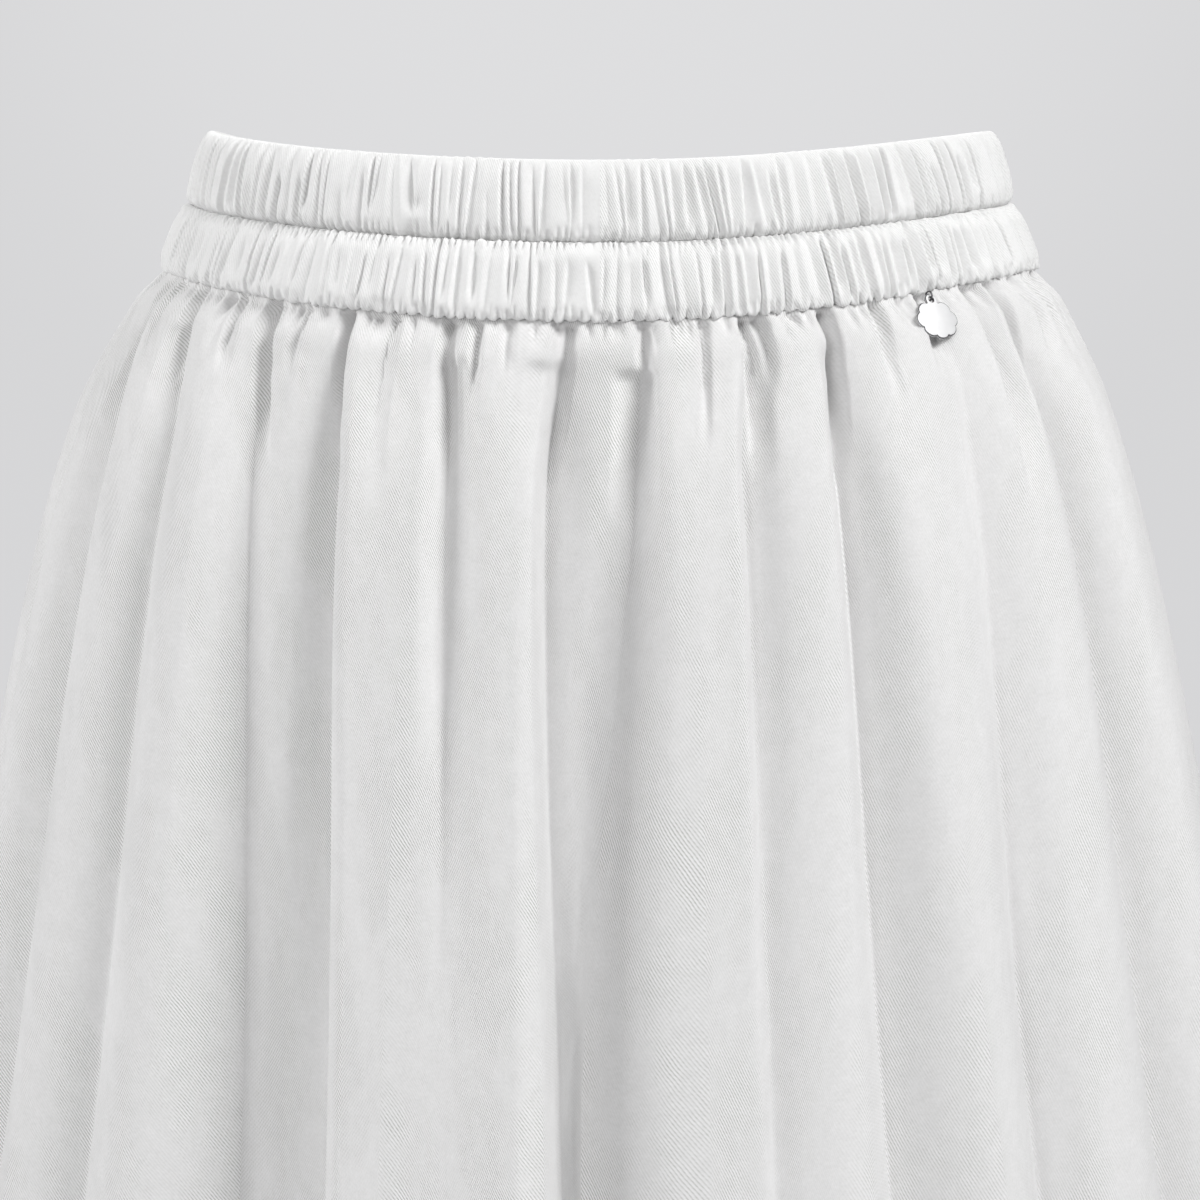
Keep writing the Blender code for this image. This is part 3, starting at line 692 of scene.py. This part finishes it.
def low_pucker(pick):
    """Short, where the cloth is caught in the seam below."""
    start = 0.74 + pick.uniform(0, 0.1)
    return pick.normal(0, 0.35), start, 1.4, pick.uniform(0.2, 1.0), pick.uniform(0.3, 0.7)


def high_pucker(pick):
    """The same in the seam above."""
    end = 0.24 - pick.uniform(0, 0.1)
    return pick.normal(0, 0.35), -0.4, end, pick.uniform(0.2, 1.0), pick.uniform(0.3, 0.7)


def ruched(creases, shares, places, around, fade):
    """How far the gathered cloth stands out (0 in the deepest crease, 1 on a crest), as a grid."""
    creases = sorted(creases, key=lambda c: c.top)
    top, bottom, start, end, depth, crest = np.transpose(creases)
    peak = np.concatenate([crest[-1:], crest, crest[:1]])
    height = np.empty((len(shares), len(places)))
    for i, t in enumerate(shares):
        at = np.sort(top + (bottom - top) * t)
        room = np.minimum(np.diff(at, prepend=at[-1] - around), np.diff(at, append=at[0] + around))
        at[1:] = np.maximum(at[1:], at[:-1] + 0.4)
        deep = depth * smooth((t - start) / fade) * smooth((end - t) / fade) * smooth(room / 1.6)
        lines = np.concatenate([at[-1:] - around, at, at[:1] + around])
        deep = np.concatenate([deep[-1:], deep, deep[:1]])
        height[i] = between_lines(lines, deep, peak, places, RUCHE_SHARPNESS)
    return height


def loops(places, pitch, seed):
    """Rounded bumps in a row, uneven in width and size: 1 on the largest, 0 between them."""
    drift = 1.6 * soft_noise(places / (3 * pitch), places * 0, seed)
    wave = np.abs(np.sin(math.pi * places / pitch + drift)) ** 0.7
    return wave * (0.72 + 0.28 * soft_noise(places / pitch, places * 0 + 9, seed))


def even_columns(level):
    """Angles evenly spaced along the outline at a level, their places, and its length, in mm."""
    angles = np.linspace(0, 2 * math.pi, CHANNEL_COLUMNS, endpoint=False)
    edge = ring_points([level], angles[None, :])[0]
    run = np.linalg.norm(np.roll(edge, -1, axis=0) - edge, axis=1) * MM
    places = np.concatenate([[0], np.cumsum(run)[:-1]])
    around = run.sum()
    even = np.linspace(0, around, CHANNEL_COLUMNS, endpoint=False)
    angles = np.interp(even, np.append(places, around), np.append(angles, 2 * math.pi))
    return angles[None, :], even, around


def channel_relief(made, creases, angles, even, around):
    """Shares of the way down a channel's outside, and how far it stands out and is lifted (mm)."""
    level = np.linspace(0, 1, CHANNEL_ROWS)
    shares = 0.7 * ((1 - np.cos(math.pi * level)) / 2) + 0.3 * level
    column = shares[:, None]
    height = (made.top - made.bottom) * MM
    from_top, from_bottom = column * height, (1 - column) * height
    swell = (1 - np.abs(2 * column - 1) ** 3.4) ** 0.5
    gathers = ruched(creases, shares, even, around, CREASE_FADE)
    low = crease_row(around, made.seed + 1, low_pucker, *PUCKER_SPACING)
    high = crease_row(around, made.seed + 2, high_pucker, *PUCKER_SPACING)
    fine_low = ruched(low, shares, even, around, PUCKER_FADE)
    fine_high = ruched(high, shares, even, around, PUCKER_FADE)
    wave = soft_noise(even / 14 + 0 * column, column * 2, made.seed + 7)
    drawn = made.depth * (1 + DRAWN_RIGHT * np.clip(np.sin(angles), 0, 1))
    out = made.pillow * (1 + 0.12 * wave) * swell - drawn * (1 - gathers) * (0.25 + 0.75 * swell)
    out -= 1.6 * (1 - fine_low) + made.top_depth * (1 - fine_high)
    bumps = loops(even, LOOP, made.seed + 5)
    if made.seamed_above:  # caught by the middle seam's stitches, and over the upper channel's edge
        edge = loops(even, STITCH_LOOP, made.seed + 3)
        out += (1.9 * edge - 1.0) * bell(from_top, 1.3)
        out += (1.1 * bumps - 0.4) * bell(from_bottom, 1.6)
        lift = (1.3 * edge - 0.3) * bell(from_top, 1.5)
        lift -= (1.5 * bumps - 0.8) * bell(from_bottom, 1.8)
        beside_charm = (np.degrees(angles) - CHARM_ANGLE) / CHARM_ROOM_WIDE
        room = np.exp(-(beside_charm**4)) * bell(from_bottom, CHARM_ROOM_HIGH)
        out -= CHARM_ROOM * room
    else:
        out -= 1.3 * bell(from_bottom, 1.3)
        lift = (0.8 * bumps - 0.5) * bell(from_top, 1.8)
    return shares, out, lift


# One elastic channel: its edges; how far it swells, and how deep its creases and the puckers at
# its top are (mm); what makes one crease, and their spacing; and whether the middle seam is above.
Channel = namedtuple("Channel", "name top bottom pillow depth top_depth crease spacing seamed_above seed")
UPPER_EDGES = (TOP_EDGE, MID_SEAM + SEAM_GAP / 2)
LOWER_EDGES = (MID_SEAM - SEAM_GAP / 2, LOWER_SEAM + SEAM_GAP / 2)
CHANNELS = rows_of(
    Channel,
    ("upper_band", *UPPER_EDGES, 3.0, 2.6, 0.3, upper_crease, (1.5, 3.0, 2.2, 5.4), False, 31),
    ("lower_band", *LOWER_EDGES, 3.6, 2.3, 1.1, lower_crease, (1.5, 4.0, 2.4, 5.8), True, 41),
)


def channel(made, finish):
    """A closed ring, stitched at both edges, swollen and creased between."""
    angles, even, around = even_columns(made.top)
    upper, lower = (ring_points([level], angles) for level in (made.top, made.bottom))
    square = squares([(made.top + made.bottom) / 2], angles)
    creases = crease_row(around, made.seed, made.crease, *made.spacing)

    shares, out, lift = channel_relief(made, creases, angles, even, around)
    shares = shares[:, None, None]
    outer = upper * (1 - shares) + lower * shares + square * out[:, :, None] / MM
    outer[:, :, 2] += lift / MM

    shares = np.linspace(1, 0, INNER_ROWS)
    swell = (1 - np.abs(2 * shares - 1) ** 2.2)[:, None]
    gathers = ruched(creases, shares, even, around, CREASE_FADE)
    depth = CHANNEL_PINCH + INNER_PILLOW * swell - INNER_CREASE * (1 - gathers) * swell
    shares = shares[:, None, None]
    inner = upper * (1 - shares) + lower * shares - square * depth[:, :, None] / MM
    u = np.append(even, around) / MM * BAND_CLOTH
    return closed_tube(made.name, np.vstack([outer, inner]), u, finish)


def closed_faces(rows, count):
    """Faces of a grid of points whose rows and columns both close on themselves."""
    index = np.arange(rows * count).reshape(rows, count)
    below = np.roll(index, -1, axis=0)
    corners = (index, below, np.roll(below, -1, axis=1), np.roll(index, -1, axis=1))
    return np.stack([c.ravel() for c in corners], axis=1).tolist()


def closed_tube(name, grid, u, finish):
    """A hollow ring from such a grid; u is the cloth's length at each column."""
    step = np.linalg.norm(np.roll(grid, -1, axis=0) - grid, axis=2).mean(axis=1)
    v = -np.concatenate([[0], np.cumsum(step)])
    rows, count = grid.shape[:2]
    mesh = new_mesh(name, grid.reshape(-1, 3).tolist(), closed_faces(rows, count))
    i, j = np.divmod(np.arange(rows * count), count)
    steps = ((0, 0), (0, 1), (1, 1), (1, 0))
    marks = np.stack([np.stack([u[j + right], v[i + down]], axis=1) for right, down in steps], axis=1)
    return cloth_object(mesh, marks, finish, slice(count * 10, count * 11))


# ---- materials


class Nodes:
    """The node tree of a material or world, written as a chain of calls."""

    def __init__(self, owner):
        owner.use_nodes = True
        self.owner = owner
        self.tree = owner.node_tree

    def add(self, kind, **settings):
        node = self.tree.nodes.new(kind)
        for key, value in settings.items():
            setattr(node, key, value)
        return node

    def put(self, node, inputs):
        """Gives a node's inputs, by name or place, a value or another node's output."""
        for key, value in inputs.items():
            if isinstance(value, bpy.types.NodeSocket):
                self.tree.links.new(value, node.inputs[key])
            else:
                node.inputs[key].default_value = value
        return node

    def math(self, operation, *values):
        node = self.add("ShaderNodeMath", operation=operation)
        return self.put(node, dict(enumerate(values))).outputs[0]

    def plus(self, *values):
        return self.math("ADD", *values)

    def minus(self, *values):
        return self.math("SUBTRACT", *values)

    def times(self, *values):
        return self.math("MULTIPLY", *values)

    def vector(self, operation, *values):
        node = self.add("ShaderNodeVectorMath", operation=operation)
        return self.put(node, dict(enumerate(values))).outputs

    def along(self, vector, direction):
        return self.vector("DOT_PRODUCT", vector, direction)["Value"]

    def wave(self, turns):
        """From 0 to 1 and back at each turn."""
        return self.plus(self.times(self.math("SINE", turns), 0.5), 0.5)

    def noise(self, vector, scale, detail=2.0, rough=0.5):
        inputs = {"Vector": vector, "Scale": scale, "Detail": detail, "Roughness": rough}
        return self.put(self.add("ShaderNodeTexNoise"), inputs).outputs["Fac"]

    def spread(self, value, low, high, to_low=0.0, to_high=1.0, **settings):
        inputs = {"Value": value, "From Min": low, "From Max": high, "To Min": to_low, "To Max": to_high}
        return self.put(self.add("ShaderNodeMapRange", **settings), inputs).outputs["Result"]

    def blend(self, share, first, second):
        node = self.add("ShaderNodeMix", data_type="RGBA")
        return self.put(node, {"Factor": share, "A": (*first, 1), "B": (*second, 1)}).outputs["Result"]

    def finish(self, inputs):
        """Sets a material's shader, and returns the material."""
        self.put(self.tree.nodes["Principled BSDF"], inputs)
        return self.owner


def hem_stitches(n, marks):
    """1 on the stitches that hold the turned-up hem, 0 between and away from them."""
    place = n.add("ShaderNodeTexCoord").outputs["Object"]
    height = n.along(place, (0, 0, 1))
    off = n.math("ABSOLUTE", n.minus(height, TURNED_EDGE - STITCH_DOWN))
    row = n.spread(off, STITCH_WIDE * 0.6, STITCH_WIDE * 1.4, 1.0, 0.0)
    turn = n.math("SINE", n.along(marks, (2 * math.pi / STITCH, 0, 0)))
    return n.times(row, n.spread(turn, -0.5, 0.0))


def twill(name, light, shade, clearest, faintest, hemmed):
    """Cotton twill: diagonal ribs of short floats, clearer in some places than in others."""
    n = Nodes(bpy.data.materials.new(name))
    marks = n.add("ShaderNodeUVMap", uv_map="cloth").outputs["UV"]
    lean = math.radians(TWILL_LEAN)
    turns = 2 * math.pi / TWILL_PITCH
    across = n.along(marks, (math.sin(lean) * turns, math.cos(lean) * turns, 0))
    wobble = n.times(n.noise(marks, WOBBLE_SCALE), TWILL_WOBBLE)
    ribs = n.wave(n.plus(across, wobble))
    turns = 2 * math.pi / FLOAT_PITCH
    floats = n.wave(n.along(marks, (0.3 * turns, 0.95 * turns, 0)))
    floats = n.plus(1 - FLOAT_SHARE, n.times(floats, FLOAT_SHARE))
    dashes = n.times(n.math("POWER", ribs, 1.8), floats)
    drawn_out = n.vector("MULTIPLY", marks, (1.0, GRAIN_STRETCH, 1.0))[0]
    patch = n.spread(n.noise(drawn_out, PATCH_SCALE, 4.0, 0.62), 0.42, 0.6, faintest, clearest)
    stronger = n.spread(n.along(marks, (1, 0, 0)), -0.02, 0.1, CLEARER_LEFT, CLEARER_RIGHT)
    patch = n.times(patch, stronger)
    groove = n.plus(SHADE_MIDDLE, n.times(n.minus(dashes, DASH_MIDDLE), patch))
    yarn = n.noise(marks, YARN_SCALE, 3.0, 0.6)
    slub = n.noise(marks, SLUB_SCALE, 3.0, 0.6)
    groove = n.plus(groove, n.spread(yarn, 0.3, 0.7, -0.08, 0.08))
    groove = n.plus(groove, n.spread(slub, 0.3, 0.7, -0.05, 0.05))
    if hemmed:
        sewn = hem_stitches(n, marks)
        groove = n.plus(groove, n.times(sewn, 0.5))
        dashes = n.plus(dashes, n.times(sewn, 3.0))
    height = n.minus(n.times(yarn, 0.5), n.times(dashes, patch))
    bump = n.put(n.add("ShaderNodeBump"), {"Strength": 0.6, "Distance": WEAVE_DEPTH, "Height": height})
    inputs = {
        "Base Color": n.blend(groove, light, shade),
        "Roughness": n.spread(yarn, 0.3, 0.7, 0.78, 0.92),
        "Normal": bump.outputs["Normal"],
        "Specular IOR Level": 0.25,
        "Sheen Weight": 0.15,
        "Sheen Roughness": 0.5,
    }
    return n.finish(inputs)


def silver(name, colour, shade, roughness, metallic):
    """Polished silver with painted shade, darker towards the lower right of the plate, and with uneven
    wear.
    """
    n = Nodes(bpy.data.materials.new(name))
    place = n.add("ShaderNodeTexCoord").outputs["Object"]
    # Painted shade: the colour is blended darker towards the plate's lower right along this direction; the
    # noise added to it is uneven wear.
    across = n.along(place, (60.0, 0, -30.0))
    wear_and_painted_shade = n.plus(n.times(n.noise(place, 300.0), 0.5), across)
    rough = n.spread(n.noise(place, 420.0), 0.35, 0.65, roughness, roughness + 0.06)
    colours = n.blend(n.spread(wear_and_painted_shade, -0.1, 0.7), colour, shade)
    return n.finish({"Base Color": colours, "Roughness": rough, "Metallic": metallic})


# ---- charm


def charm_frame():
    """The ring's hinge point and the charm's own axes: across, face and down."""
    angle = np.array([[math.radians(CHARM_ANGLE)]])
    square = Vector(squares([LOWER_SEAM], angle)[0, 0])
    up = Vector((0, 0, 1))
    pitch = math.radians(CHARM_PITCH)
    down = square * math.sin(pitch) - up * math.cos(pitch)
    face = square * math.cos(pitch) + up * math.sin(pitch)
    seam = Vector(ring_points([LOWER_SEAM], angle)[0, 0])
    hinge = seam + square * RING_OUT + up * RING_UP
    return hinge, up.cross(square), face, down


def oriented(across, face, down, at):
    turn = Matrix((across, face, -down)).transposed().to_4x4()
    return Matrix.Translation(at) @ turn


def charm_outline(theta):
    """Distance from the charm's middle to its rim, theta round from the top of its eye."""
    wide, high = CHARM_WIDTH / 2, CHARM_HEIGHT / 2
    oval = wide * high / math.hypot(high * math.sin(theta), wide * math.cos(theta))
    notch = 1 - abs(math.cos(CHARM_LOBES * theta / 2))
    reach = oval * (1 - CHARM_SCALLOP * notch**1.4)
    if math.cos(theta) > 0 and high * abs(math.sin(theta)) < CHARM_TAB:
        eye = high * math.cos(theta) + math.sqrt(CHARM_TAB**2 - (high * math.sin(theta)) ** 2)
        reach = max(reach, eye)
    return reach


def charm_plate(hinge, across, face, down, bright, painted_dark_finish):
    """The scalloped plate, with a bevelled rim and a round hole in its eye; the bevels and the hole's walls
    carry a painted dark reflection.
    """
    shape = bmesh.new()

    def outline(reach, lift, y, steps):
        """A closed row of points at height y; reach gives their distance from the middle."""
        turns = (2 * math.pi * i / steps for i in range(steps))
        points = [(reach(t) * math.sin(t), y, lift + reach(t) * math.cos(t)) for t in turns]
        return [shape.verts.new(point) for point in points]

    def rim(inset, y):
        return outline(lambda theta: charm_outline(theta) - inset, 0, y, CHARM_STEPS)

    def bore(radius, y):
        return outline(lambda theta: radius, CHARM_HEIGHT / 2, y, HOLE_STEPS)

    def band(first, second, slot):
        for corners in zip(first, first[1:] + first[:1], second[1:] + second[:1], second):
            shape.faces.new(corners).material_index = slot

    def cap(*rows):
        edges = [shape.edges.get(pair) for row in rows for pair in zip(row, row[1:] + row[:1])]
        bmesh.ops.triangle_fill(shape, use_beauty=True, edges=edges)

    half, soft, sunk = CHARM_THICK / 2, CHARM_BEVEL, CHARM_HOLE_BEVEL
    shoulder = soft * CHARM_SHOULDER
    rims = [rim(soft, half), rim(shoulder, half - shoulder), rim(0, half - soft)]
    rims += [rim(0, soft - half), rim(shoulder, shoulder - half), rim(soft, -half)]
    # Slot 1, on the bevels and the hole's walls, is the near-black painted dark reflection; slot 0, on the
    # plate's faces and its straight edge, is the silver.
    for first, second, slot in zip(rims, rims[1:], (1, 1, 0, 1, 1)):
        band(first, second, slot)
    bores = [bore(CHARM_HOLE + sunk, half), bore(CHARM_HOLE, half - sunk)]
    bores += [bore(CHARM_HOLE, sunk - half), bore(CHARM_HOLE + sunk, -half)]
    for first, second in zip(bores, bores[1:]):
        band(first, second, 1)
    cap(rims[0], bores[0])
    cap(rims[-1], bores[-1])
    bmesh.ops.recalc_face_normals(shape, faces=shape.faces)
    mesh = bpy.data.meshes.new("charm")
    shape.to_mesh(mesh)
    shape.free()
    plate = smooth_object(mesh, bright, painted_dark_finish)
    mesh.set_sharp_from_angle(angle=math.radians(35))
    middle = hinge + down * (2 * RING_RADIUS + CHARM_HEIGHT / 2)
    plate.matrix_world = oriented(across, face, down, middle)
    return plate


def charm_wire(hinge, across, face, down, finish):
    """The wire ring that the charm hangs from."""
    around, section = 64, 16
    points = []
    for i in range(around):
        turn = 2 * math.pi * i / around
        out = Vector((0, math.sin(turn), math.cos(turn)))
        for j in range(section):
            roll = 2 * math.pi * j / section
            ring = out * (RING_RADIUS + RING_WIRE * math.cos(roll))
            points.append(ring + Vector((RING_WIRE * math.sin(roll), 0, -RING_RADIUS)))
    wire = smooth_object(new_mesh("charm_wire", points, closed_faces(around, section)), finish)
    wire.matrix_world = oriented(across, face, down, hinge)
    return wire


# ---- the skirt

SKIRT_TWILL = twill("skirt_twill", (0.905, 0.90, 0.907), (0.53, 0.53, 0.515), 1.0, 0.1, True)
BAND_TWILL = twill("band_twill", (0.93, 0.93, 0.93), (0.66, 0.66, 0.65), 0.8, 0.05, False)
# The second colour is the painted shade towards the plate's lower right.
SILVER = silver("charm_silver", (0.79, 0.79, 0.79), (0.66, 0.66, 0.665), 0.45, 0.2)
# Painted dark reflection: the plate's bevels, the walls of its hole and the wire ring get a near-black
# silver in place of the dark edges that polished silver reflects.
PAINTED_DARK_RIM = silver("charm_rim", (0.14, 0.14, 0.145), (0.10, 0.10, 0.105), 0.3, 0.6)

front_count = len(FRONT_FOLDS) - 1
front_gathers = [
    g._replace(depth=g.depth * (RIGHT_GATHERS_DEEPER if g.at > RIGHT_GATHERS_FROM else 1.0))
    for g in FRONT_GATHERS
]
front_gathers += seeded_gathers(75.0, 90.0, 3) + seam_notches(-88.0, 88.0, 5)
front = panel("front_cloth", 0, front_count, -1, front_gathers, 11, SKIRT_TWILL)
back_gathers = seeded_gathers(90.0, 270.0, 8)
back = panel("back_cloth", front_count, len(FOLDS), 1, back_gathers, 21, SKIRT_TWILL)
upper, lower = (channel(made, BAND_TWILL) for made in CHANNELS)
axes = charm_frame()
charm = charm_plate(*axes, SILVER, PAINTED_DARK_RIM)
# The ring takes the near-black painted dark reflection too.
wire = charm_wire(*axes, PAINTED_DARK_RIM)

for piece, node, body, slot in (
    (front, "front_panel", "skirt", "twill"),
    (back, "back_panel", "skirt", "twill"),
    (upper, "waistband_upper_channel", "skirt", "waistband_twill"),
    (lower, "waistband_lower_channel", "skirt", "waistband_twill"),
    (wire, "charm_ring", "charm_ring", "silver"),
    (charm, "charm_plate", "charm", "silver"),
):
    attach(piece, body)
    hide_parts(node)

# ---- the studio


def studio():
    """A grey backdrop, a little brighter behind the skirt, and an even fill light."""
    world = bpy.data.worlds.new("studio")
    bpy.context.scene.world = world
    n = Nodes(world)
    n.tree.nodes.clear()
    place = n.add("ShaderNodeTexCoord").outputs["Generated"]
    behind = n.along(place, Vector((0.0, 1.0, 0.06)).normalized())
    glow = n.spread(behind, 0.985, 1.0, interpolation_type="SMOOTHSTEP")
    shade = n.blend(glow, (0.675, 0.675, 0.685), (0.735, 0.735, 0.745))
    seen = n.put(n.add("ShaderNodeBackground"), {"Color": shade, "Strength": 1.0})
    fill = n.put(n.add("ShaderNodeBackground"), {"Color": (0.72, 0.72, 0.72, 1), "Strength": 0.32})
    rays = n.add("ShaderNodeLightPath").outputs
    shown = rays["Is Camera Ray"]
    for name in ("Is Glossy Ray", "Is Transmission Ray"):
        shown = n.math("MAXIMUM", shown, rays[name])
    pick = n.put(n.add("ShaderNodeMixShader"), {0: shown, 1: fill.outputs[0], 2: seen.outputs[0]})
    n.put(n.add("ShaderNodeOutputWorld"), {0: pick.outputs[0]})


def lamp(name, place, power):
    light = bpy.data.lights.new(name, "AREA")
    light.size = LAMP_SIZE
    light.energy = power
    obj = add_object(name, light)
    obj.location = place
    obj.rotation_euler = (LAMP_AIM - place).to_track_quat("-Z", "Y").to_euler()


def floor():
    """Pale paper that ends softly, so that no horizon shows."""
    n = Nodes(bpy.data.materials.new("floor_paper"))
    place = n.add("ShaderNodeTexCoord").outputs["Object"]
    reach = n.vector("LENGTH", place)["Value"]
    inputs = {
        "Base Color": n.blend(n.noise(place, 1.3), (0.54, 0.54, 0.55), (0.57, 0.57, 0.58)),
        "Roughness": 0.9,
        "Emission Color": (0.70, 0.70, 0.71, 1),
        "Emission Strength": 0.16,
        "Alpha": n.spread(reach, 1.3, 2.1, 1.0, 0.0),
    }
    corners = ((-1, -1), (1, -1), (1, 1), (-1, 1))
    points = [(x * FLOOR_SIDE, y * FLOOR_SIDE, HEM - FLOOR_DROP) for x, y in corners]
    smooth_object(new_mesh("floor", points, [(0, 1, 2, 3)]), n.finish(inputs))


studio()
floor()
# Soft boxes round the skirt: bearing from the front and height in degrees, and watts.
Box = namedtuple("Box", "name bearing height watts")
BOXES = rows_of(
    Box, ("key", 54, 40, 50), ("left_side", -84, 26, 33), ("left_front", -25, 16, 13), ("back", 180, 35, 34)
)
for box in BOXES:
    bearing, height = math.radians(box.bearing), math.radians(box.height)
    level = math.cos(height)
    way = Vector((math.sin(bearing) * level, -math.cos(bearing) * level, math.sin(height)))
    lamp(box.name, LAMP_AIM + way * LAMP_DISTANCE, box.watts)

camera_data = bpy.data.cameras.new("camera")
camera_data.sensor_width = 36.0
camera_data.lens = CAMERA_LENS
camera = add_object("camera", camera_data)
camera.location = (0.0, -CAMERA_DISTANCE, CAMERA_HEIGHT)
camera.rotation_euler = (math.radians(90 - CAMERA_DOWN), 0, 0)
bpy.context.scene.camera = camera
bpy.context.scene.view_settings.view_transform = "Standard"
